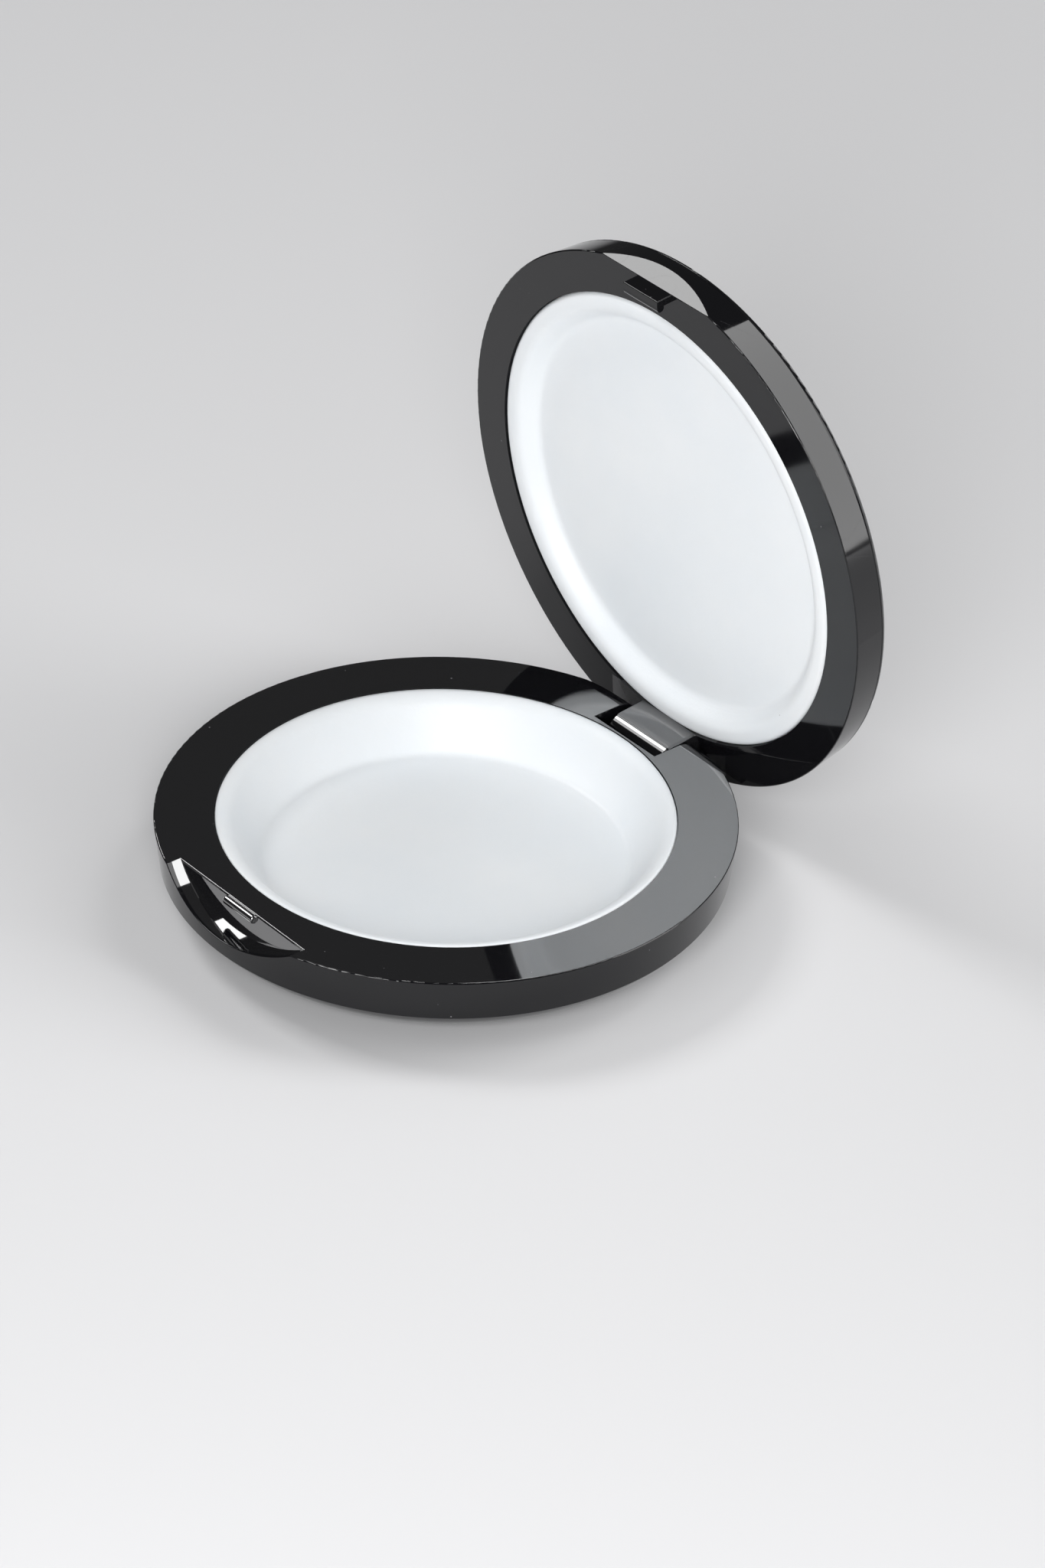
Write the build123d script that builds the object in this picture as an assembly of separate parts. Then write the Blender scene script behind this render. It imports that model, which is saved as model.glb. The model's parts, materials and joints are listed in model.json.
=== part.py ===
"""Round hinged pocket palette: two glossy moulded halves, each holding a white silicone dish.

The lid is modelled shut over the base and then swung open about its hinge by lid_open.
Frame: origin at the middle of the flat foot, +Z up, hinge at +Y, thumb notch at -Y. Millimetres.
"""
import os
from math import cos, radians, sin, sqrt, tan

from build123d import *

# ---------------------------------------------------------------- driving dimensions
rim_radius = 37.5          # outer edge of the base's flat rim
base_height = 11.1         # foot to rim face
band_height = 5.7          # side band of the base, rim face down to the bottom cover
band_taper = 0.7           # how much the side band draws in over its height
foot_radius = 27.0         # flat foot that the palette stands on
cover_bulge = 0.9          # how far the bottom cover's side bows out of a straight slope
wall = 1.5                 # moulded side walls
plate = 1.6                # moulded rim plates and well floors
cover_wall = 1.2           # bottom and lid covers
spigot_height = 1.5        # ring of a cover that locates inside its frame
seat_gap = 0.05            # between pieces that are pushed or welded together
edge_soft = 0.15           # rounding of the mouldings' outer edges
cut_soft = 0.1             # rounding where the notch, the slot and the bevel are cut in
seam_soft = 0.12           # rounding of the covers' edges at their seams

lid_inset = 0.15           # the lid's rim is this much smaller than the base's
lid_band_height = 4.6      # side band of the lid, rim face to the lid cover
lid_band_taper = 0.5
lid_thickness = 6.9        # lid rim face to the crown of its cover
lid_edge_radius = 0.8      # rounding round the lid cover's edge
rim_gap = 0.25             # between the two rim faces when shut
lid_open = 85.0            # degrees that the lid stands open

dish_radius = 29.65        # base dish at the rim face
dish_rebate = 1.2          # depth of the shoulder that the dish's lip drops into
dish_lip = 1.3             # width of that shoulder
dish_slope = 6.65          # how far the dish's wall slopes in from the lip to the floor
dish_depth = 6.5           # rim face to the inside floor
dish_wall = 1.2            # silicone thickness
lid_dish_radius = 31.6     # lid dish at the rim face
lid_dish_slope = 5.6       # broad rounded lip of the lid dish
lid_dish_depth = 2.4
lid_dish_wall = 1.0

hinge_inset = 3.3          # hinge axis in from the base's outer edge
hinge_drop = 3.4           # hinge axis below the base's rim face
pin_radius = 0.8
pin_length = 22.0
pin_running = 0.06         # radial clearance of the pin in the lid's knuckle
pin_seat = 0.01            # radial clearance of the pin in the base's ears
pin_end_gap = 0.3
slot_width = 12.0          # hinge slot in the base
slot_front_gap = 1.1       # between the slot's inner wall and the knuckle
knuckle_width = 10.8
knuckle_radius = 3.1
knuckle_heel = 0.8         # how far the knuckle's web reaches behind the axis
knuckle_swing = 0.35       # clearance round the web's corner as it swings
knuckle_soft = 0.45        # rounding of the knuckle's ends

notch_width = 25.4         # thumb notch in the base, at the rim face
notch_depth = 3.5          # deepest, at the middle of its front edge
notch_inset = 4.4          # inner wall of the notch in from the base's outer edge
notch_land = 0.35          # upright part of that wall, below which it slopes out
notch_slope = 16.0         # degrees
notch_backing = 1.2        # moulding behind the notch's wall and beside its ends
catch_length = 6.0         # rounded rib on the notch's wall
catch_radius = 0.6
catch_depth = 0.8          # rib's middle below the rim face
catch_reach = 0.8          # rib's crown out from the wall's top edge
catch_soft = 0.3           # rounding of the rib's ends

bevel_inset = 1.6          # straight edge of the lid's thumb bevel, in from the base's outer edge
bevel_slope = 24.7         # degrees from upright
latch_width = 6.5
latch_length = 2.4
latch_thickness = 1.0
latch_bead_radius = 0.55   # bead on the inside of the latch's tip
latch_gap = 0.25           # between the bead's crown and the rib's crown

# ---------------------------------------------------------------- worked out from them
dish_floor_radius = dish_radius - dish_slope
lid_dish_floor_radius = lid_dish_radius - lid_dish_slope
hinge_y = rim_radius - hinge_inset
slot_wall_y = hinge_y - knuckle_radius - slot_front_gap
notch_wall_y = notch_inset - rim_radius
bevel_y = bevel_inset - rim_radius
seam_z = base_height - band_height
seam_radius = rim_radius - band_taper
hinge_z = base_height - hinge_drop
ear_radius = hinge_drop
lid_rim_z = base_height + rim_gap
lid_rim_radius = rim_radius - lid_inset
lid_seam_z = lid_rim_z + lid_band_height
lid_seam_radius = lid_rim_radius - lid_band_taper
lid_top_z = lid_rim_z + lid_thickness
well_floor_z = base_height - dish_depth - dish_wall
lid_well_floor_z = lid_rim_z + lid_dish_depth + lid_dish_wall
hinge_axis = Axis((0, hinge_y, hinge_z), (1, 0, 0))
swing_radius = sqrt(knuckle_heel**2 + (lid_rim_z - hinge_z)**2) + knuckle_swing
reach = 2 * rim_radius     # long enough to cut right through


# ---------------------------------------------------------------- helpers
def turned(*outline):
    """A solid of revolution about Z from a closed outline of (radius, height) corners."""
    face = Plane.XZ * make_face(Polyline(*outline, close=True))
    return revolve(face, Axis.Z)


def block(x_size, y_low, y_high, z_low, z_high):
    """A box centred on x = 0."""
    box = Box(x_size, y_high - y_low, z_high - z_low)
    return Pos(0, (y_low + y_high) / 2, (z_low + z_high) / 2) * box


def rod(radius, length, y, z):
    """A cylinder that lies along X, centred on x = 0."""
    return Pos(0, y, z) * Rot(0, 90, 0) * Cylinder(radius, length)


def prism(width, *outline):
    """A prism along X, centred on x = 0, from a closed outline of (y, z) corners."""
    face = Plane.YZ * make_face(Polyline(*outline, close=True))
    return extrude(face, width / 2, both=True)


def same(first, second):
    """Whether two lengths agree."""
    return abs(first - second) < 0.001


def is_level(edge, height):
    """Whether an edge lies flat at a height."""
    box = edge.bounding_box()
    return same(box.min.Z, height) and same(box.max.Z, height)


def is_circle(edge, radius):
    """Whether an edge is part of a circle of this radius."""
    return edge.geom_type == GeomType.CIRCLE and same(edge.radius, radius)


def is_line(edge):
    """Whether an edge is straight."""
    return edge.geom_type == GeomType.LINE


def upright_at(edge, y):
    """Whether an edge stands upright at a depth y."""
    return same(edge.center().Y, y) and same(edge.length, edge.bounding_box().size.Z)


def softened(part, radius, chosen):
    """Round the edges for which chosen(edge) holds."""
    return fillet(part.edges().filter_by(chosen), radius)


def soft_rod(radius, length, y, z, end_radius):
    """A rod with rounded ends."""
    return softened(rod(radius, length, y, z), end_radius, lambda edge: is_circle(edge, radius))


def swung(part):
    """Swing a piece of the lid from shut to where the lid stands open."""
    return part.rotate(hinge_axis, -lid_open)


# ---------------------------------------------------------------- base
def base_envelope():
    """The space the base frame may fill: its outer form, rounded behind about the hinge axis
    above the seam, and the dish's well below it."""
    well_radius = dish_radius + seat_gap + wall
    drum = turned((0, seam_z), (seam_radius, seam_z), (rim_radius, base_height), (0, base_height))
    drum = softened(drum, edge_soft, lambda edge: is_circle(edge, rim_radius))
    ahead = block(reach, -reach, hinge_y, 0, base_height)
    ears = rod(ear_radius, reach, hinge_y, hinge_z)
    below = turned((0, 0), (well_radius, 0), (well_radius, seam_z), (0, seam_z))
    return (drum & (ahead + ears)) + below


def notch_cutter():
    """The thumb scoop: a round trough along Y in front of a wall that slopes out."""
    half = notch_width / 2
    trough_radius = (half**2 + notch_depth**2) / (2 * notch_depth)
    trough_z = base_height - notch_depth + trough_radius
    trough = Pos(0, notch_wall_y - reach / 2, trough_z) * Rot(90, 0, 0) * Cylinder(trough_radius, reach)
    land_z = base_height - notch_land
    foot_y = notch_wall_y - tan(radians(notch_slope)) * (land_z - seam_z)
    behind_y = notch_wall_y + notch_backing
    slope = prism(
        reach, (behind_y, land_z), (notch_wall_y, land_z), (foot_y, seam_z), (behind_y, seam_z)
    )
    return trough - slope


def base_cut_edge(edge):
    """The inner edge and the outer lip of the notch, and the sides of the hinge slot."""
    middle = edge.center()
    if is_line(edge):
        on_notch = same(middle.Y, notch_wall_y)
        on_slot = slot_wall_y - seat_gap < middle.Y < hinge_y - seat_gap
        return is_level(edge, base_height) and (on_notch or on_slot)
    notch_lip = edge.geom_type == GeomType.BSPLINE and middle.Y < 0 and edge.length > notch_width / 2
    return notch_lip or is_circle(edge, ear_radius)


def base_frame():
    """Rim ring, side band, well for the dish, notch with its catch, and the hinge ears."""
    lip_radius = dish_radius + seat_gap
    shelf_radius = lip_radius - dish_lip
    floor_radius = dish_floor_radius + dish_wall
    shelf_z = base_height - dish_rebate
    floor_z = well_floor_z - seat_gap
    under_z = base_height - plate
    inner_radius = seam_radius - wall
    ring = turned(
        (0, floor_z - plate), (floor_radius, floor_z - plate), (shelf_radius + wall, shelf_z - plate),
        (lip_radius + wall, shelf_z - plate), (lip_radius + wall, under_z),
        (inner_radius + band_taper, under_z), (inner_radius, seam_z), (seam_radius, seam_z),
        (rim_radius, base_height), (0, base_height),
    )
    rear_width = 2 * sqrt(rim_radius**2 - hinge_y**2)
    rear = block(rear_width, slot_wall_y - wall, reach, seam_z, base_height)
    front_width = notch_width + 2 * notch_backing
    front = block(front_width, -reach, notch_wall_y + notch_backing, seam_z, base_height)
    well = turned(
        (0, floor_z), (floor_radius, floor_z), (shelf_radius, shelf_z), (lip_radius, shelf_z),
        (lip_radius, base_height), (0, base_height),
    )
    slot = block(slot_width, slot_wall_y, reach, 0, base_height)
    frame = (ring + rear + front) & base_envelope()
    frame -= well + notch_cutter() + slot
    frame = softened(frame, cut_soft, base_cut_edge)
    frame += soft_rod(
        catch_radius, catch_length, notch_wall_y - catch_reach + catch_radius,
        base_height - catch_depth, catch_soft,
    )
    return frame - pin_pocket()


def pin_pocket():
    """The pin's seat in the two ears: a bore that is open downwards, so the pin drops in."""
    radius = pin_radius + pin_seat
    length = pin_length + 2 * pin_end_gap
    return rod(radius, length, hinge_y, hinge_z) + block(
        length, hinge_y - radius, hinge_y + radius, 0, hinge_z
    )


def dome_arc(edge_radius, edge_z, flat_radius, flat_z):
    """A convex line from the bottom cover's edge to its flat."""
    middle_radius = (edge_radius + flat_radius) / 2 + cover_bulge
    middle_z = (edge_z + flat_z) / 2 - cover_bulge
    return ThreePointArc((edge_radius, edge_z), (middle_radius, middle_z), (flat_radius, flat_z))


def base_cover():
    """The bottom shell: a shallow bowl with a flat foot, a ring that locates in the frame, and
    a saddle under each end of the pin."""
    outer = dome_arc(seam_radius, seam_z, foot_radius, 0)
    inner = dome_arc(seam_radius - wall, seam_z, foot_radius - cover_wall, cover_wall)
    profile = make_face([
        outer, Line((foot_radius, 0), (0, 0)), Line((0, 0), (0, cover_wall)),
        Line((0, cover_wall), (foot_radius - cover_wall, cover_wall)), inner,
        Line((seam_radius - wall, seam_z), (seam_radius, seam_z)),
    ])
    bowl = revolve(Plane.XZ * profile, Axis.Z)
    bowl = softened(bowl, seam_soft, lambda edge: is_circle(edge, seam_radius))
    spigot_radius = seam_radius - wall - seat_gap
    spigot_foot = seam_z - cover_wall
    spigot = turned(
        (spigot_radius - cover_wall, spigot_foot), (spigot_radius, spigot_foot),
        (spigot_radius, seam_z + spigot_height), (spigot_radius - cover_wall, seam_z + spigot_height),
    )
    rear_width = 2 * (sqrt(rim_radius**2 - hinge_y**2) + notch_backing)
    front_width = notch_width + 4 * notch_backing
    spigot -= block(rear_width, 0, reach, seam_z, base_height)
    spigot -= block(front_width, -reach, 0, seam_z, base_height)
    saddle_top = hinge_z - pin_radius - pin_seat
    saddle_y = (hinge_y - pin_radius, hinge_y + pin_radius)
    saddles = block(pin_length - 2 * pin_end_gap, *saddle_y, spigot_foot, saddle_top)
    return bowl + spigot + saddles - knuckle_room()


def knuckle_room():
    """The space that the lid's knuckle swings through."""
    return rod(swing_radius, slot_width, hinge_y, hinge_z)


def base_liner():
    """The base's white silicone mixing dish, whose lip sits in the shoulder round the well."""
    back_z = well_floor_z
    floor_z = base_height - dish_depth
    shelf_z = base_height - dish_rebate + seat_gap
    return turned(
        (0, back_z), (dish_floor_radius + dish_wall - seat_gap, back_z), (dish_radius - dish_lip, shelf_z),
        (dish_radius, shelf_z), (dish_radius, base_height), (dish_radius - dish_wall, base_height),
        (dish_floor_radius, floor_z), (0, floor_z),
    )


def hinge_pin():
    """Plain steel pin, held in the base's ears."""
    return rod(pin_radius, pin_length, hinge_y, hinge_z)


# ---------------------------------------------------------------- lid, modelled shut
def hinge_knuckle():
    """The roll that turns on the pin, and the web that joins it to the lid's rim."""
    roll = soft_rod(knuckle_radius, knuckle_width, hinge_y, hinge_z, knuckle_soft)
    front_y = hinge_y - knuckle_radius
    web = block(knuckle_width, front_y, hinge_y + knuckle_heel, hinge_z, lid_rim_z + plate / 2)
    return roll + softened(web, knuckle_soft, lambda edge: upright_at(edge, front_y))


def latch_outer_edge(edge, tip_z):
    """The edges of the latch's outer face: its tip and its two sides."""
    at_tip = is_level(edge, tip_z) and same(edge.center().Y, bevel_y)
    return at_tip or upright_at(edge, bevel_y)


def latch():
    """The tongue over the notch, with the bead that snaps past the catch."""
    inner_y = bevel_y + latch_thickness
    tip_z = lid_rim_z - latch_length
    tongue = block(latch_width, bevel_y, inner_y, tip_z, lid_rim_z + plate / 2)
    tongue = softened(tongue, edge_soft, lambda edge: latch_outer_edge(edge, tip_z))
    bead_crown_y = notch_wall_y - catch_reach - latch_gap
    bead = rod(latch_bead_radius, latch_width, bead_crown_y - latch_bead_radius, tip_z + latch_bead_radius)
    return tongue + bead


def bevel_edge(edge):
    """The straight edge of the thumb bevel, on the rim face, and its curved edge behind."""
    straight = is_line(edge) and is_level(edge, lid_rim_z) and same(edge.center().Y, bevel_y)
    return straight or edge.geom_type == GeomType.ELLIPSE


def lid_frame():
    """Rim ring and side band of the lid, with its dish well, latch, bevel and hinge knuckle."""
    lip_radius = lid_dish_radius + seat_gap
    floor_z = lid_well_floor_z + seat_gap
    inner_radius = lid_seam_radius - wall
    ring = turned(
        (0, floor_z), (lip_radius, floor_z), (lip_radius, lid_rim_z), (lid_rim_radius, lid_rim_z),
        (lid_seam_radius, lid_seam_z), (inner_radius, lid_seam_z), (inner_radius, lid_rim_z + plate),
        (lip_radius + wall, lid_rim_z + plate), (lip_radius + wall, floor_z + cover_wall),
        (0, floor_z + cover_wall),
    )
    bevel_foot_y = bevel_y - tan(radians(bevel_slope)) * lid_band_height
    bevel = prism(
        reach, (bevel_y, lid_rim_z), (bevel_foot_y, lid_seam_z), (-reach, lid_seam_z), (-reach, lid_rim_z)
    )
    dish_space = turned((0, lid_rim_z), (lip_radius, lid_rim_z), (lip_radius, lid_seam_z), (0, lid_seam_z))
    ring = softened(ring, edge_soft, lambda edge: is_circle(edge, lid_rim_radius))
    ring = softened(ring, seam_soft, lambda edge: is_circle(edge, lid_seam_radius))
    frame = softened(ring - bevel, cut_soft, bevel_edge)
    frame += latch()
    frame += hinge_knuckle() - dish_space
    return frame - rod(pin_radius + pin_running, reach, hinge_y, hinge_z)


def lid_cover():
    """The lid's slightly domed outer plate, with a ring that locates in the lid frame."""
    edge_z = lid_seam_z + lid_edge_radius
    edge_r = lid_seam_radius - lid_edge_radius
    corner = ThreePointArc(
        (lid_seam_radius, lid_seam_z),
        (edge_r + lid_edge_radius * cos(radians(45)), lid_seam_z + lid_edge_radius * sin(radians(45))),
        (edge_r, edge_z),
    )
    crown = ThreePointArc((edge_r, edge_z), *crown_points(edge_r, edge_z, lid_top_z))
    inner_top = lid_top_z - cover_wall
    inner_r = lid_seam_radius - wall
    inner = ThreePointArc((inner_r, lid_seam_z), *crown_points(inner_r, lid_seam_z, inner_top))
    profile = make_face([
        corner, crown, Line((0, lid_top_z), (0, inner_top)), inner,
        Line((inner_r, lid_seam_z), (lid_seam_radius, lid_seam_z)),
    ])
    shell = revolve(Plane.XZ * profile, Axis.Z)
    shell = softened(shell, seam_soft, lambda edge: is_circle(edge, lid_seam_radius))
    spigot_radius = inner_r - seat_gap
    spigot = turned(
        (spigot_radius - cover_wall, lid_seam_z - spigot_height), (spigot_radius, lid_seam_z - spigot_height),
        (spigot_radius, lid_seam_z + seat_gap), (spigot_radius - cover_wall, lid_seam_z + seat_gap),
    )
    return shell + spigot


def crown_points(edge_r, edge_z, top_z):
    """Middle and end of a shallow crown that is level at the axis."""
    rise = top_z - edge_z
    crown_radius = (edge_r**2 + rise**2) / (2 * rise)
    middle_r = edge_r / 2
    middle_z = top_z - crown_radius + sqrt(crown_radius**2 - middle_r**2)
    return (middle_r, middle_z), (0, top_z)


def lid_liner():
    """The lid's shallow white silicone dish, mouth down when shut."""
    floor_z = lid_rim_z + lid_dish_depth
    return turned(
        (0, lid_well_floor_z), (lid_dish_radius, lid_well_floor_z), (lid_dish_radius, lid_rim_z),
        (lid_dish_radius - lid_dish_wall, lid_rim_z), (lid_dish_floor_radius, floor_z), (0, floor_z),
    )


def main():
    os.makedirs("parts", exist_ok=True)
    pieces = {
        "base_frame": base_frame(),
        "base_cover": base_cover(),
        "base_liner": base_liner(),
        "hinge_pin": hinge_pin(),
        "lid_frame": swung(lid_frame()),
        "lid_cover": swung(lid_cover()),
        "lid_liner": swung(lid_liner()),
    }
    for name, shape in pieces.items():
        export_step(shape, f"parts/{name}.step")
        print(name, len(shape.solids()), round(shape.volume, 1))


main()
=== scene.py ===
# %% [markdown]
# # A round pocket palette
#
# The palette is two glossy black mouldings joined by a hinge, and each holds a white silicone
# dish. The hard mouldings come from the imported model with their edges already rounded, so here
# they only get a finish. The soft dishes are made again in this script, because their look is in
# a rounded lip and a satin skin that a plain solid lacks.

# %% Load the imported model
import json
import math

import bpy
from mathutils import Matrix, Vector


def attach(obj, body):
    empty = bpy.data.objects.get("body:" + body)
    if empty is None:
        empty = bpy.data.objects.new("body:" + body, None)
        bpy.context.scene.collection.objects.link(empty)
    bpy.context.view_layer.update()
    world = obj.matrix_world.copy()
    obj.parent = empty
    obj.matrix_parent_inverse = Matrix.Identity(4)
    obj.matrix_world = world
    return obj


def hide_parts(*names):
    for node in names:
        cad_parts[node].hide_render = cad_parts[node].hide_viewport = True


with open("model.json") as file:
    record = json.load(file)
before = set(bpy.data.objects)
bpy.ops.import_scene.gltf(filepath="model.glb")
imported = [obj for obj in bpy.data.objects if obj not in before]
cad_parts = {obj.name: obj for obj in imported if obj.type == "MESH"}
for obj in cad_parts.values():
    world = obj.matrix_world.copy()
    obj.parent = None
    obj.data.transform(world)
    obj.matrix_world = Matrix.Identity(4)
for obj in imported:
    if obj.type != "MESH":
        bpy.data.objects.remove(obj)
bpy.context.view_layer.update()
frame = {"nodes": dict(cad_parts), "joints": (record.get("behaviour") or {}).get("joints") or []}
nodes = frame["nodes"]
MM = 0.001
print("pieces:", ", ".join(sorted(nodes)))

# %% [markdown]
# ## Where the lid is
#
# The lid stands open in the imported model. Its hinge gives the axis, and the lower end of the
# hinge's range is the shut lid, so the opening angle follows from the range. A part of the lid
# can then be built shut, where it is upright and easy to measure, and swung open at the end.
# Building it at its slant would also work, but every measure would need a turn of its own.

# %% Read the hinge
hinge = next(joint for joint in frame["joints"] if joint["name"] == "lid_hinge")
hinge_point = Vector(hinge["pos_m"])
lid_angle = math.radians(-hinge["range_deg"][0])
to_open = (
    Matrix.Translation(hinge_point)
    @ Matrix.Rotation(lid_angle, 4, Vector(hinge["axis"]))
    @ Matrix.Translation(-hinge_point)
)
to_shut = to_open.inverted()
print("lid stands open", round(math.degrees(lid_angle), 1), "degrees")

# %% [markdown]
# ## Camera
#
# A long lens from a good distance keeps the round rims true: a short lens close by would swell
# the near rim. The camera looks down at about a third of a right angle, from the right of the
# thumb notch, so that both dishes, the notch and the hinge show at once.

# %% Place the camera
CAMERA_AZIMUTH = math.radians(49.2)
CAMERA_ELEVATION = math.radians(33.65)
CAMERA_ROLL = math.radians(1.92)
CAMERA_DISTANCE = 856.2 * MM
CAMERA_TARGET = Vector((-12.02, 23.07, 0)) * MM
CAMERA_LENS = 148.85


def camera_axes(azimuth, elevation, roll):
    """Right, up and back directions of a camera that looks at the object."""
    level = math.cos(elevation)
    back = Vector((math.sin(azimuth) * level, -math.cos(azimuth) * level, math.sin(elevation)))
    right = Vector((0, 0, 1)).cross(back).normalized()
    up = back.cross(right)
    rolled_right = right * math.cos(roll) + up * math.sin(roll)
    rolled_up = up * math.cos(roll) - right * math.sin(roll)
    return rolled_right, rolled_up, back


scene = bpy.context.scene
right, up, back = camera_axes(CAMERA_AZIMUTH, CAMERA_ELEVATION, CAMERA_ROLL)
camera_data = bpy.data.cameras.new("camera")
camera_data.lens = CAMERA_LENS
camera_data.sensor_width = 36
camera_data.clip_start = 0.01
camera = bpy.data.objects.new("camera", camera_data)
camera.matrix_world = (
    Matrix.Translation(CAMERA_TARGET + back * CAMERA_DISTANCE)
    @ Matrix((right, up, back)).transposed().to_4x4()
)
scene.collection.objects.link(camera)
scene.camera = camera
print("camera stands at", [round(value, 3) for value in camera.location])

# %% [markdown]
# ## Light
#
# Gloss black shows only what it reflects, so the sky is nearly dark and four soft panels do the
# work. A key panel low on the right makes the dishes' walls brighter than their floors, and a
# weaker one above fills in. The high panel is mirrored by the thumb bevel. The long strip behind
# is mirrored by the lid's side, so it is turned to follow that curved side's reflections.

# %% Set the sky and the panels
SKY_STRENGTH = 0.05
PALETTE_MIDDLE = Vector((0, 20, 25)) * MM
scene.view_settings.view_transform = "Standard"
sky = bpy.data.worlds.new("dim_sky")
scene.world = sky
sky.use_nodes = True
sky.node_tree.nodes["Background"].inputs["Color"].default_value = (1, 1, 1, 1)
sky.node_tree.nodes["Background"].inputs["Strength"].default_value = SKY_STRENGTH


def soft_panel(name, direction, distance, width, height, watts, roll=0):
    """A light panel that faces the palette from a direction, turned in its plane by a roll."""
    data = bpy.data.lights.new(name, "AREA")
    data.shape = "RECTANGLE"
    data.size = width
    data.size_y = height
    data.energy = watts
    light = bpy.data.objects.new(name, data)
    outward = Vector(direction).normalized()
    facing = outward.to_track_quat("Z", "Y").to_matrix().to_4x4()
    light.matrix_world = (
        Matrix.Translation(outward * distance + PALETTE_MIDDLE)
        @ facing
        @ Matrix.Rotation(math.radians(roll), 4, "Z")
    )
    scene.collection.objects.link(light)


soft_panel("key_panel", (0.6, -0.68, 0.42), 0.6, 0.3, 0.3, 3.1)
soft_panel("top_panel", (0.1, -0.5, 0.9), 1.1, 0.8, 0.8, 1.0)
soft_panel("high_panel", (-0.63, -0.2, 0.75), 0.9, 0.3, 0.3, 2.5)
soft_panel("back_strip", (0.46, 0.65, 0.52), 0.9, 1.5, 0.4, 7.5, roll=52)

# %% [markdown]
# ## Finishes: what they share
#
# Real surfaces are never quite even. Three effects turn up in more than one finish here: a soft
# mottle, hairline scuffs and specks of dust. Each is built once as a node group with named
# inputs, and each finish sets its own values. The groups read Object coordinates, so a pattern
# stays put on its piece when the lid moves.

# %% A small builder for node trees
def add(tree, kind, *, values=None, **settings):
    """Add a node, set its properties, and set or link its inputs by name or number."""
    node = tree.nodes.new(kind)
    for name, value in settings.items():
        setattr(node, name, value)
    for key, value in (values or {}).items():
        socket = node.inputs[key]
        if isinstance(value, bpy.types.NodeSocket):
            tree.links.new(value, socket)
        else:
            socket.default_value = value
    return node


def math_node(tree, operation, *terms):
    """The result of one sum on numbers or sockets."""
    values = dict(enumerate(terms))
    return add(tree, "ShaderNodeMath", operation=operation, values=values).outputs[0]


def shader_group(name, inputs, output):
    """An empty group with number inputs and one number output."""
    group = bpy.data.node_groups.new(name, "ShaderNodeTree")
    for label, default in inputs.items():
        socket = group.interface.new_socket(label, in_out="INPUT", socket_type="NodeSocketFloat")
        socket.default_value = default
    group.interface.new_socket(output, in_out="OUTPUT", socket_type="NodeSocketFloat")
    return group, add(group, "NodeGroupInput").outputs, add(group, "NodeGroupOutput").inputs


# %% [markdown]
# ### Soft mottle
#
# Polish and moulded skins vary in broad clouds. A noise texture gives the clouds, and a map
# range turns them into whatever value a finish needs: a roughness, a mix of two whites or a
# height.

# %% Build the mottle
def build_mottle():
    """A cloudy value between Low and High."""
    group, given, result = shader_group("soft_mottle", {"Scale": 100, "Low": 0, "High": 1}, "Value")
    place = add(group, "ShaderNodeTexCoord").outputs["Object"]
    cloud = add(
        group, "ShaderNodeTexNoise",
        values={"Vector": place, "Scale": given["Scale"], "Detail": 3, "Roughness": 0.55},
    )
    spread = add(
        group, "ShaderNodeMapRange",
        values={
            "Value": cloud.outputs["Fac"], "From Min": 0.3, "From Max": 0.7,
            "To Min": given["Low"], "To Max": given["High"],
        },
    )
    group.links.new(spread.outputs["Result"], result["Value"])
    return group


mottle = build_mottle()
print("built", mottle.name)

# %% [markdown]
# ### Hairline scuffs
#
# A case that lives in a pocket gets thin straight scratches in every direction. Stretching a
# noise thirty times makes streaks, and keeping only a narrow band of its values makes each
# streak a hairline. Three turned copies cross one another. Drawn scratches would need an image.

# %% Build the scuffs
SCUFF_STRETCH = 30
SCUFF_TURNS = ((0.3, 0.2, 0.5), (1.1, 0.4, 2.1), (0.2, 1.2, 3.6))


def build_scuffs():
    """Thin straight scratches in three directions: stretched noise, cut to a narrow band."""
    group, given, result = shader_group("hairline_scuffs", {"Scale": 60, "Width": 0.01}, "Height")
    place = add(group, "ShaderNodeTexCoord").outputs["Object"]
    total = 0.0
    for turn in SCUFF_TURNS:
        stretched = add(
            group, "ShaderNodeMapping", vector_type="TEXTURE",
            values={"Vector": place, "Rotation": turn, "Scale": (SCUFF_STRETCH, 1, 1)},
        )
        streak = add(
            group, "ShaderNodeTexNoise",
            values={"Vector": stretched.outputs["Vector"], "Scale": given["Scale"], "Detail": 2},
        )
        off_middle = math_node(group, "ABSOLUTE", math_node(group, "SUBTRACT", streak.outputs["Fac"], 0.5))
        line = math_node(group, "LESS_THAN", off_middle, given["Width"])
        total = math_node(group, "ADD", line, total)
    group.links.new(total, result["Height"])
    return group


scuffs = build_scuffs()
print("built", scuffs.name)

# %% [markdown]
# ### Dust specks
#
# Dust shows on black as a few pale points of uneven size. The cells of a Voronoi texture place
# them. Each cell has a random colour: its red decides whether the cell holds a speck at all, and
# its green sets how large the speck is.

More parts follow.
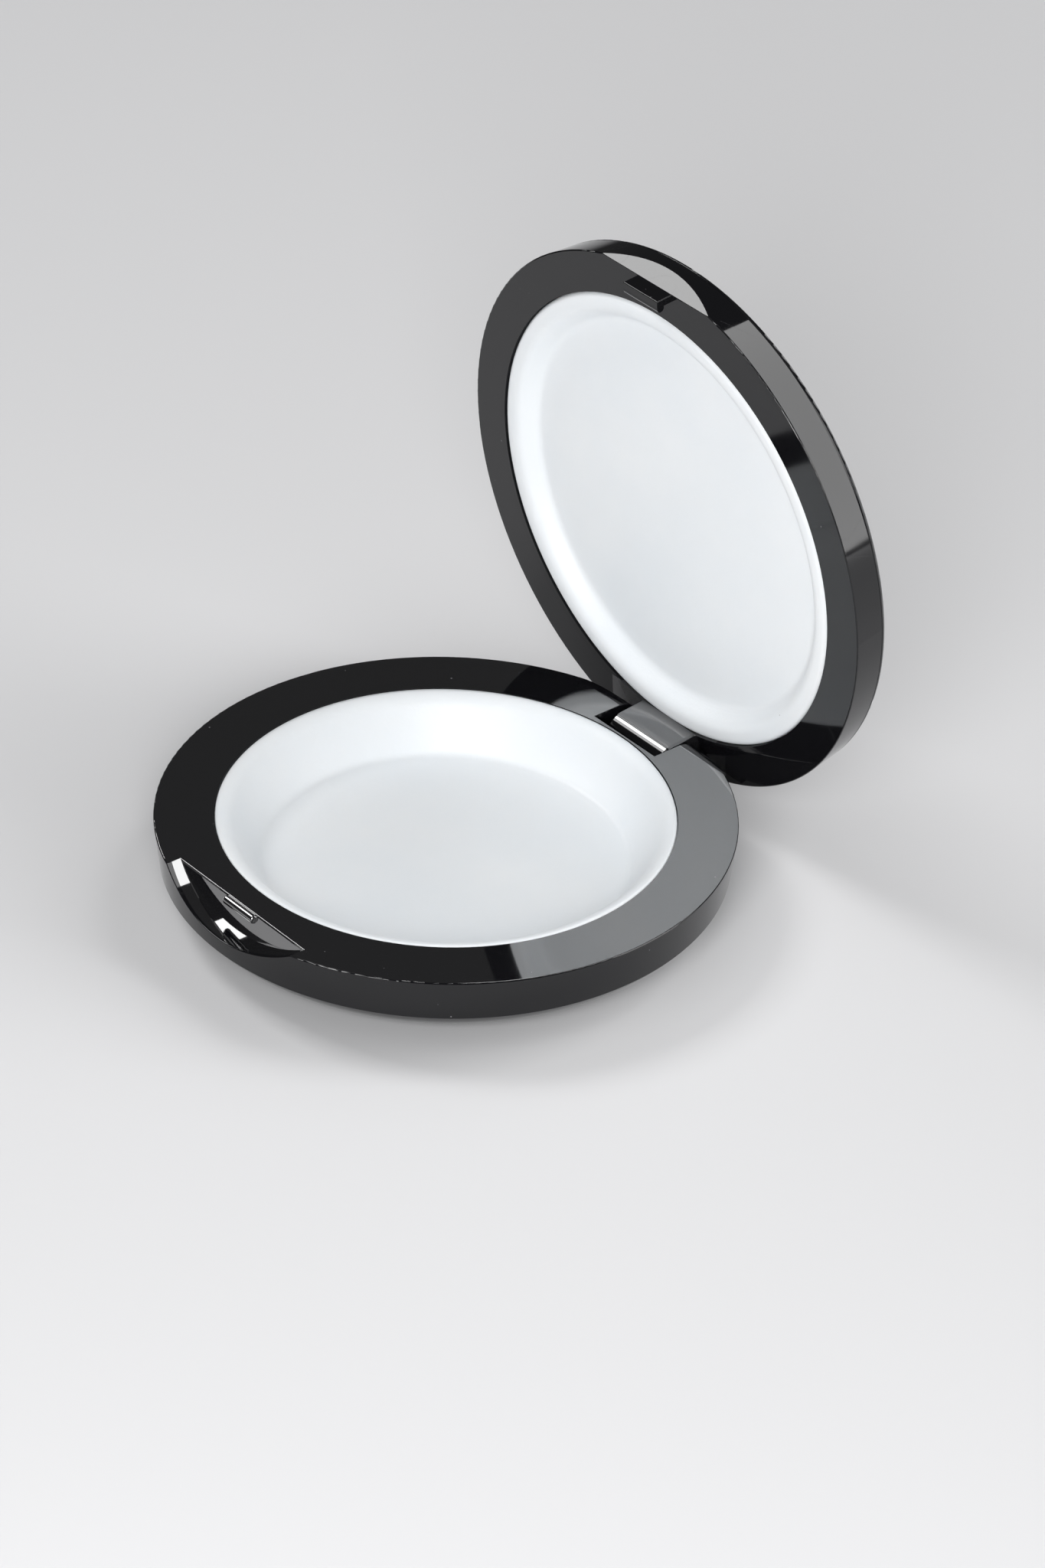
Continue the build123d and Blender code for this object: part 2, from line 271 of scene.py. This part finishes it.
# %% Build the dust
def build_dust():
    """A mask of small round specks: the middles of a few Voronoi cells."""
    group, given, result = shader_group(
        "dust_specks", {"Scale": 400, "Size": 0.12, "Share": 0.05}, "Mask"
    )
    place = add(group, "ShaderNodeTexCoord").outputs["Object"]
    cells = add(group, "ShaderNodeTexVoronoi", values={"Vector": place, "Scale": given["Scale"]})
    parts = add(group, "ShaderNodeSeparateColor", values={"Color": cells.outputs["Color"]})
    chosen = math_node(group, "LESS_THAN", parts.outputs["Red"], given["Share"])
    own_size = math_node(group, "MULTIPLY", given["Size"], parts.outputs["Green"])
    inside = math_node(group, "LESS_THAN", cells.outputs["Distance"], own_size)
    group.links.new(math_node(group, "MULTIPLY", chosen, inside), result["Mask"])
    return group


dust = build_dust()
print("built", dust.name)

# %% [markdown]
# ### From effects to a finish
#
# A finish is a Principled shader. What stays constant is set on the shader's own inputs, and
# only what varies over the surface is linked from a group.

# %% Helpers for a finish
def new_finish(name, color, roughness, **fixed):
    """A material, its tree and its shader, with the constant values set on the shader."""
    material = bpy.data.materials.new(name)
    material.use_nodes = True
    tree = material.node_tree
    shader = tree.nodes["Principled BSDF"]
    shader.inputs["Base Color"].default_value = (*color, 1)
    shader.inputs["Roughness"].default_value = roughness
    for label, value in fixed.items():
        shader.inputs[label.replace("_", " ")].default_value = value
    return material, tree, shader


def use_group(tree, group, **values):
    """Place a shared effect in a finish with its own values, and give back its result."""
    node = add(tree, "ShaderNodeGroup", node_tree=group, values=values)
    return node.outputs[0]


def raise_surface(tree, shader, height, distance):
    """Let a height stand out of the surface by a distance in metres."""
    bump = add(tree, "ShaderNodeBump", values={"Height": height, "Distance": distance, "Strength": 1})
    tree.links.new(bump.outputs["Normal"], shader.inputs["Normal"])


# %% [markdown]
# ## Gloss black plastic
#
# The case is polished ABS, moulded in a mirror-finished tool. A mirror-like surface looks
# computer-made when it is perfect, so it gets what a handled case has: a polish that varies a
# little from place to place, hairlines that only show where light glances off, and a few pale
# specks of dust. Each piece shifts the patterns, so that no two pieces carry the same marks.

# %% Make the casing's finish
CASING_BLACK = (0.0045, 0.0045, 0.0055)
DUST_GREY = (0.15, 0.15, 0.16)
DUST_ROUGHNESS = 0.6
SCRATCH_DEPTH = 0.0006 * MM


def gloss_black(name, shift, ior):
    """Polished black plastic, whose scuffs and specks differ from piece to piece by a shift."""
    material, tree, shader = new_finish(name, CASING_BLACK, 0.05, IOR=ior)
    polish = use_group(tree, mottle, Scale=90 + shift, Low=0.03, High=0.08)
    specks = use_group(tree, dust, Scale=1100 + shift, Size=0.15, Share=0.03)
    lines = use_group(tree, scuffs, Scale=38 + shift, Width=0.0016)
    color = add(
        tree, "ShaderNodeMix", data_type="RGBA",
        values={"Factor": specks, "A": (*CASING_BLACK, 1), "B": (*DUST_GREY, 1)},
    )
    tree.links.new(color.outputs["Result"], shader.inputs["Base Color"])
    dusty = math_node(tree, "MULTIPLY", specks, DUST_ROUGHNESS)
    tree.links.new(math_node(tree, "ADD", polish, dusty), shader.inputs["Roughness"])
    raise_surface(tree, shader, lines, -SCRATCH_DEPTH)
    return material, tree, shader


def dress(name, material):
    """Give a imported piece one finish."""
    mesh = nodes[name].data
    mesh.materials.clear()
    mesh.materials.append(material)
    print(name, "is", material.name)


dress("base_cover", gloss_black("gloss_black_base", 0, 1.45)[0])

# %% [markdown]
# ## The lid's outer plate
#
# The plate is a shallow dome that mirrors like a lens, so one wrong shading normal shows as a
# spot. At the very middle of each side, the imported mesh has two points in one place, joined by a
# face of no area, and that face upsets the normals there. This copy keeps the shape, joins the
# two points and sets the normals in the middle along the dome's axis. All other normals are the
# packed ones.

# %% Make the plate with true normals in its middle
POLE_REACH = 0.05 * MM


def joined_middle(packed):
    """For each vertex, the vertex that stands for it: one for each side at the axis."""
    stands_for = list(range(len(packed.vertices)))
    first = {}
    for vertex in packed.vertices:
        place = to_shut @ vertex.co
        if place.xy.length < POLE_REACH:
            stands_for[vertex.index] = first.setdefault(round(place.z / MM, 1), vertex.index)
    return stands_for, set(first.values())


def plate_with_true_middle(packed):
    """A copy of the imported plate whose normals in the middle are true."""
    stands_for, poles = joined_middle(packed)
    lid_up = (to_open.to_3x3() @ Vector((0, 0, 1))).normalized()
    used = sorted(set(stands_for))
    number = {vertex: place for place, vertex in enumerate(used)}
    faces = []
    normals = []
    for polygon in packed.polygons:
        corners = [stands_for[vertex] for vertex in polygon.vertices]
        if len(set(corners)) < len(corners):
            continue
        faces.append([number[vertex] for vertex in corners])
        for vertex, loop in zip(corners, polygon.loop_indices):
            side = math.copysign(1, polygon.normal.dot(lid_up))
            normals.append(side * lid_up if vertex in poles else packed.corner_normals[loop].vector)
    mesh = bpy.data.meshes.new("lid_plate")
    mesh.from_pydata([packed.vertices[vertex].co for vertex in used], [], faces)
    mesh.shade_smooth()
    mesh.normals_split_custom_set(normals)
    print("plate has", len(faces), "faces, left out", len(packed.polygons) - len(faces))
    return mesh


plate_mesh = plate_with_true_middle(nodes["lid_cover"].data)
plate_mesh.materials.append(gloss_black("gloss_black_lid_cover", 9, 1.5)[0])
lid_plate = bpy.data.objects.new("lid_plate", plate_mesh)
scene.collection.objects.link(lid_plate)
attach(lid_plate, "lid")
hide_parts("lid_cover")

# %% [markdown]
# ## The brightest mirrors
#
# The rim face of the base, the thumb notch and the web of the hinge are the most polished
# surfaces: they mirror the white dishes clearly. A clear coat gives them that stronger mirror. It
# covers only those places, which are chosen by their position on the piece. Cutting the pieces
# up to give each place its own material would do the same, but would break up whole mouldings.

# %% Coat the rim face, the notch and the hinge web
RIM_FACE = 11.09 * MM
NOTCH_FRONT = -33.0 * MM
SIDE_RADIUS = 36.7 * MM
WEB_HALF_WIDTH = 11.3 * MM
WEB_TOP = 12.0 * MM
WEB_FRONT = hinge_point.y - 1.6 * MM
RIM_COAT_IOR = 2.6
WEB_COAT_IOR = 2.1
COAT_ROUGHNESS = 0.03


def coat(tree, shader, mask, ior):
    """A clear coat where the mask is one."""
    tree.links.new(mask, shader.inputs["Coat Weight"])
    shader.inputs["Coat IOR"].default_value = ior
    shader.inputs["Coat Roughness"].default_value = COAT_ROUGHNESS


def position(tree):
    """The place on the piece as three numbers."""
    place = add(tree, "ShaderNodeTexCoord").outputs["Object"]
    return add(tree, "ShaderNodeSeparateXYZ", values={"Vector": place}).outputs


rim_black, rim_tree, rim_shader = gloss_black("gloss_black_rim", 3, 1.45)
x, y, z = position(rim_tree)
rim_mask = math_node(rim_tree, "GREATER_THAN", z, RIM_FACE)
before_chord = math_node(rim_tree, "LESS_THAN", y, NOTCH_FRONT)
across = math_node(rim_tree, "MULTIPLY", x, x)
outwards = math_node(rim_tree, "SQRT", math_node(rim_tree, "MULTIPLY_ADD", y, y, across))
inside_rim = math_node(rim_tree, "LESS_THAN", outwards, SIDE_RADIUS)
notch_mask = math_node(rim_tree, "MULTIPLY", before_chord, inside_rim)
coat(rim_tree, rim_shader, math_node(rim_tree, "MAXIMUM", rim_mask, notch_mask), RIM_COAT_IOR)
dress("base_frame", rim_black)

lid_black, lid_tree, lid_shader = gloss_black("gloss_black_lid", 5, 1.5)
x, y, z = position(lid_tree)
near_middle = math_node(lid_tree, "LESS_THAN", math_node(lid_tree, "ABSOLUTE", x), WEB_HALF_WIDTH)
near_hinge = math_node(lid_tree, "LESS_THAN", z, WEB_TOP)
behind_front = math_node(lid_tree, "GREATER_THAN", y, WEB_FRONT)
hinge_end = math_node(lid_tree, "MULTIPLY", near_hinge, behind_front)
web_mask = math_node(lid_tree, "MULTIPLY", near_middle, hinge_end)
coat(lid_tree, lid_shader, web_mask, WEB_COAT_IOR)
dress("lid_frame", lid_black)

# %% [markdown]
# ## Steel pin
#
# The pin is ground steel wire. It hides inside the hinge, where little more than its ends could
# ever be seen, so an uneven shine and some crossed grinding lines are enough.

# %% Make the pin's finish
STEEL_GREY = (0.56, 0.56, 0.58)
GRIND_HEIGHT = 0.002 * MM
pin_steel, pin_tree, pin_shader = new_finish("ground_steel", STEEL_GREY, 0.28, Metallic=1.0)
pin_shine = use_group(pin_tree, mottle, Scale=900, Low=0.2, High=0.38)
pin_tree.links.new(pin_shine, pin_shader.inputs["Roughness"])
pin_lines = use_group(pin_tree, scuffs, Scale=200, Width=0.02)
raise_surface(pin_tree, pin_shader, pin_lines, GRIND_HEIGHT)
dress("hinge_pin", pin_steel)

# %% [markdown]
# ## White silicone
#
# Food-grade silicone is white with a cool cast and a satin skin. Light goes a little way in, so
# shadows in the dish stay soft. The skin carries a very fine grain from the mould. Its colour is
# partly painted shade: a darker, bluer copy of the white, the tint the dishes take in shade, is
# mixed in random clouds, which also keep large flat areas from looking dead.

# %% Make the dishes' finish
SILICONE_LIGHT = (0.85, 0.87, 0.885)
# Painted shade: this second white is the darker, bluer colour that the dishes show in shade.
SILICONE_PAINTED_SHADE = (0.77, 0.81, 0.845)
SILICONE_DUST = (0.45, 0.45, 0.46)
GRAIN_HEIGHT = 0.006 * MM
silicone, silicone_tree, silicone_shader = new_finish(
    "white_silicone", SILICONE_LIGHT, 0.42, IOR=1.43,
    Subsurface_Weight=0.25, Subsurface_Scale=1.2 * MM, Subsurface_Radius=(1.0, 0.95, 0.9),
)
# Painted shade in random clouds: up to six tenths of the shaded copy of the white is mixed in.
cloud = use_group(silicone_tree, mottle, Scale=45, Low=0.0, High=0.6)
specks = use_group(silicone_tree, dust, Scale=500, Size=0.12, Share=0.004)
tone_with_painted_shade = add(
    silicone_tree, "ShaderNodeMix", data_type="RGBA",
    values={"Factor": cloud, "A": (*SILICONE_LIGHT, 1), "B": (*SILICONE_PAINTED_SHADE, 1)},
)
dusted = add(
    silicone_tree, "ShaderNodeMix", data_type="RGBA",
    values={"Factor": specks, "A": tone_with_painted_shade.outputs["Result"], "B": (*SILICONE_DUST, 1)},
)
silicone_tree.links.new(dusted.outputs["Result"], silicone_shader.inputs["Base Color"])
satin = use_group(silicone_tree, mottle, Scale=160, Low=0.36, High=0.5)
silicone_tree.links.new(satin, silicone_shader.inputs["Roughness"])
mould_grain = use_group(silicone_tree, mottle, Scale=2600, Low=0.0, High=1.0)
raise_surface(silicone_tree, silicone_shader, mould_grain, GRAIN_HEIGHT)
print("silicone has", len(silicone_tree.nodes), "nodes")

# %% [markdown]
# ## A moulded dish from one section
#
# A round dish is a section swept round a circle. The section is drawn by its eight corners, from
# the middle of the inside floor, over the lip and back under to the middle. Fillet Curve rounds
# each corner by its own radius, and Curve to Mesh does the sweep. A Screw or a lathe-turned
# outline would need all its rounded points written out. Both dishes come from the same tree with
# their own sizes, so a change to the way a dish is made reaches both.

# %% Corners of the section
DISH_INPUTS = {
    "Radius": 0.03, "Height": 0.0077, "Floor Radius": 0.023, "Floor Depth": 0.0065,
    "Shelf Width": 0.0013, "Shelf Depth": 0.0012, "Foot Radius": 0.024,
    "Brim Round": 0.0003, "Lip Width": 0.001, "Lip Round": 0.0025, "Floor Round": 0.0015,
    "Step": 0.0004,
}


def dish_corners(tree, given):
    """Eight corners as offsets outwards and downwards from the brim, each with its rounding."""
    def inward(distance):
        return math_node(tree, "MULTIPLY", distance, -1)

    middle = inward(given["Radius"])
    return (
        (middle, given["Floor Depth"], 0.0),
        (math_node(tree, "ADD", given["Floor Radius"], middle), given["Floor Depth"], given["Floor Round"]),
        (inward(given["Lip Width"]), 0.0, given["Lip Round"]),
        (0.0, 0.0, given["Brim Round"]),
        (0.0, given["Shelf Depth"], 0.0),
        (inward(given["Shelf Width"]), given["Shelf Depth"], 0.0),
        (math_node(tree, "ADD", given["Foot Radius"], middle), given["Height"], 0.0),
        (middle, given["Height"], 0.0),
    )


# %% Build the dish tree
AROUND = 160
ARC_POINTS = 6
MERGE_REACH = 0.01 * MM


def pick_by_index(tree, kind, choices):
    """A value for each point, chosen by its number."""
    switch = add(tree, "GeometryNodeIndexSwitch", data_type=kind)
    while len(switch.index_switch_items) < len(choices):
        switch.index_switch_items.new()
    tree.links.new(add(tree, "GeometryNodeInputIndex").outputs[0], switch.inputs["Index"])
    for number, choice in enumerate(choices):
        socket = switch.inputs[number + 1]
        if isinstance(choice, bpy.types.NodeSocket):
            tree.links.new(choice, socket)
        else:
            socket.default_value = choice
    return switch.outputs[0]


def build_dish_tree(material):
    """Section, sweep, closed middle, smooth shading and finish."""
    tree = bpy.data.node_groups.new("moulded_dish", "GeometryNodeTree")
    for label, default in DISH_INPUTS.items():
        socket = tree.interface.new_socket(label, in_out="INPUT", socket_type="NodeSocketFloat")
        socket.default_value = default
    tree.interface.new_socket("Dish", in_out="OUTPUT", socket_type="NodeSocketGeometry")
    given = add(tree, "NodeGroupInput").outputs
    corners = dish_corners(tree, given)
    places = [
        add(tree, "ShaderNodeCombineXYZ", values={"X": out, "Y": drop}).outputs[0]
        for out, drop, _ in corners
    ]
    line = add(tree, "GeometryNodeMeshLine", values={"Count": len(corners)})
    drawn = add(
        tree, "GeometryNodeSetPosition",
        values={"Geometry": line.outputs[0], "Position": pick_by_index(tree, "VECTOR", places)},
    )
    section = add(tree, "GeometryNodeMeshToCurve", values={"Mesh": drawn.outputs[0]})
    rounded = add(
        tree, "GeometryNodeFilletCurve", mode="POLY",
        values={
            "Curve": section.outputs[0], "Count": ARC_POINTS, "Limit Radius": True,
            "Radius": pick_by_index(tree, "FLOAT", [rounding for _, _, rounding in corners]),
        },
    )
    even = add(
        tree, "GeometryNodeResampleCurve", mode="LENGTH",
        values={"Curve": rounded.outputs[0], "Length": given["Step"]},
    )
    path = add(
        tree, "GeometryNodeCurvePrimitiveCircle",
        values={"Resolution": AROUND, "Radius": given["Radius"]},
    )
    swept = add(
        tree, "GeometryNodeCurveToMesh",
        values={"Curve": path.outputs[0], "Profile Curve": even.outputs[0]},
    )
    closed = add(
        tree, "GeometryNodeMergeByDistance",
        values={"Geometry": swept.outputs[0], "Distance": MERGE_REACH},
    )
    smooth = add(tree, "GeometryNodeSetShadeSmooth", values={"Geometry": closed.outputs[0]})
    real = add(tree, "GeometryNodeRealizeInstances", values={"Geometry": smooth.outputs[0]})
    finished = add(
        tree, "GeometryNodeSetMaterial", values={"Geometry": real.outputs[0], "Material": material}
    )
    tree.links.new(finished.outputs[0], add(tree, "NodeGroupOutput").inputs["Dish"])
    return tree


dish_tree = build_dish_tree(silicone)
print("dish tree has", len(dish_tree.nodes), "nodes")

# %% [markdown]
# ## From tree to plain mesh
#
# The tree runs as a modifier on an empty mesh. Its result is copied into a plain mesh, so the
# finished dish has no live modifier. A sweep can come out inside out, so the signed volume is
# measured, and the faces are turned if it is negative.

# %% Run the tree for one dish
def signed_volume(mesh):
    """Volume of a closed mesh, negative if its faces point inwards."""
    mesh.calc_loop_triangles()
    corner = [vertex.co for vertex in mesh.vertices]
    return sum(
        corner[a].dot(corner[b].cross(corner[c])) / 6
        for a, b, c in (triangle.vertices for triangle in mesh.loop_triangles)
    )


def moulded_dish(name, sizes, place):
    """A dish with its own sizes, put in its place."""
    holder = bpy.data.objects.new(name + "_holder", bpy.data.meshes.new(name + "_holder"))
    scene.collection.objects.link(holder)
    modifier = holder.modifiers.new("dish", "NODES")
    modifier.node_group = dish_tree
    sockets = {item.name: item.identifier for item in dish_tree.interface.items_tree}
    for label, value in sizes.items():
        modifier[sockets[label]] = value
    depsgraph = bpy.context.evaluated_depsgraph_get()
    mesh = bpy.data.meshes.new_from_object(holder.evaluated_get(depsgraph))
    bpy.data.objects.remove(holder)
    mesh.name = name
    mesh.transform(place)
    if signed_volume(mesh) < 0:
        mesh.flip_normals()
    dish = bpy.data.objects.new(name, mesh)
    scene.collection.objects.link(dish)
    print(name, len(mesh.loop_triangles), "triangles,", round(signed_volume(mesh) * 1e6, 2), "ml")
    return dish


# %% [markdown]
# ## The base dish
#
# The deep dish drops into the base until its lip lies level with the rim. A shoulder under the
# lip carries it, so the shelf's sizes matter even though they hide. Its outer radius, its height
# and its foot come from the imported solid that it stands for. The lip flows into the wall in one
# large rounding, and the floor starts at a crisp edge.

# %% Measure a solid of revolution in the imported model
LEVEL_REACH = 0.02 * MM


def shut_corners(name, matrix):
    """Lowest and highest corners of a node after a matrix."""
    points = [matrix @ vertex.co for vertex in nodes[name].data.vertices]
    low = Vector([min(point[axis] for point in points) for axis in range(3)])
    high = Vector([max(point[axis] for point in points) for axis in range(3)])
    return low, high


def radius_at(name, matrix, height):
    """Largest radius of a node's corners at a height."""
    points = [matrix @ vertex.co for vertex in nodes[name].data.vertices]
    return max(point.xy.length for point in points if abs(point.z - height) < LEVEL_REACH)


# %% Make the base dish
BASE_SKIN = 0.9 * MM
BASE_FLOOR_RADIUS = 23.8 * MM
SECTION_STEP = 0.4 * MM
base_low, base_high = shut_corners("base_liner", Matrix())
base_radius = base_high.x
base_foot_radius = radius_at("base_liner", Matrix(), base_low.z)
base_dish = moulded_dish(
    "base_dish",
    {
        "Radius": base_radius,
        "Height": base_high.z - base_low.z,
        "Floor Radius": BASE_FLOOR_RADIUS,
        "Floor Depth": base_high.z - base_low.z - BASE_SKIN,
        "Shelf Width": 1.3 * MM,
        "Shelf Depth": 1.15 * MM,
        "Foot Radius": base_foot_radius,
        "Brim Round": 0.25 * MM,
        "Lip Width": 1.6 * MM,
        "Lip Round": 4.5 * MM,
        "Floor Round": 0.9 * MM,
        "Step": SECTION_STEP,
    },
    Matrix.Translation((0, 0, base_high.z)),
)
print("foot radius", round(base_foot_radius / MM, 2), "mm")
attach(base_dish, "base")
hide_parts("base_liner")

# %% [markdown]
# ## The lid dish
#
# The lid's dish is wider and shallow, with a broad round lip. It has no shoulder, so its shelf
# shrinks to nearly nothing, and its back is flat against the lid. It is built mouth up at the
# origin, turned mouth down into the shut lid, and then swung open with the hinge's matrix.

# %% Make the lid dish
LID_SKIN = 1.0 * MM
LID_FLOOR_INSET = 4.3 * MM
lid_low, lid_high = shut_corners("lid_liner", to_shut)
lid_radius = radius_at("lid_liner", to_shut, lid_low.z)
mouth_down = Matrix.Translation((0, 0, lid_low.z)) @ Matrix.Rotation(math.pi, 4, "X")
lid_dish = moulded_dish(
    "lid_dish",
    {
        "Radius": lid_radius,
        "Height": lid_high.z - lid_low.z,
        "Floor Radius": lid_radius - LID_FLOOR_INSET,
        "Floor Depth": lid_high.z - lid_low.z - LID_SKIN,
        "Shelf Width": 0.02 * MM,
        "Shelf Depth": 1.5 * MM,
        "Foot Radius": lid_radius - 0.03 * MM,
        "Brim Round": 0.8 * MM,
        "Lip Width": 2.5 * MM,
        "Lip Round": 1.8 * MM,
        "Floor Round": 0.9 * MM,
        "Step": SECTION_STEP,
    },
    to_open @ mouth_down,
)
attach(lid_dish, "lid")
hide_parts("lid_liner")

# %% [markdown]
# ## Floor
#
# A plain pale floor, far larger than the palette, so that its edge stays far from every
# reflection in the rims. It is matt, because a mirror under the case would double the shapes.

# %% Make the floor
FLOOR_HALF = 3.0
FLOOR_PALE = (0.7, 0.7, 0.71)
floor_mesh = bpy.data.meshes.new("floor")
floor_corners = [(x * FLOOR_HALF, y * FLOOR_HALF, 0) for x, y in ((-1, -1), (1, -1), (1, 1), (-1, 1))]
floor_mesh.from_pydata(floor_corners, [], [(0, 1, 2, 3)])
floor = bpy.data.objects.new("floor", floor_mesh)
scene.collection.objects.link(floor)
floor_finish, floor_tree, floor_shader = new_finish("pale_floor", FLOOR_PALE, 0.9)
floor_tone = use_group(floor_tree, mottle, Scale=8, Low=0.86, High=0.94)
floor_tree.links.new(floor_tone, floor_shader.inputs["Roughness"])
floor_mesh.materials.append(floor_finish)
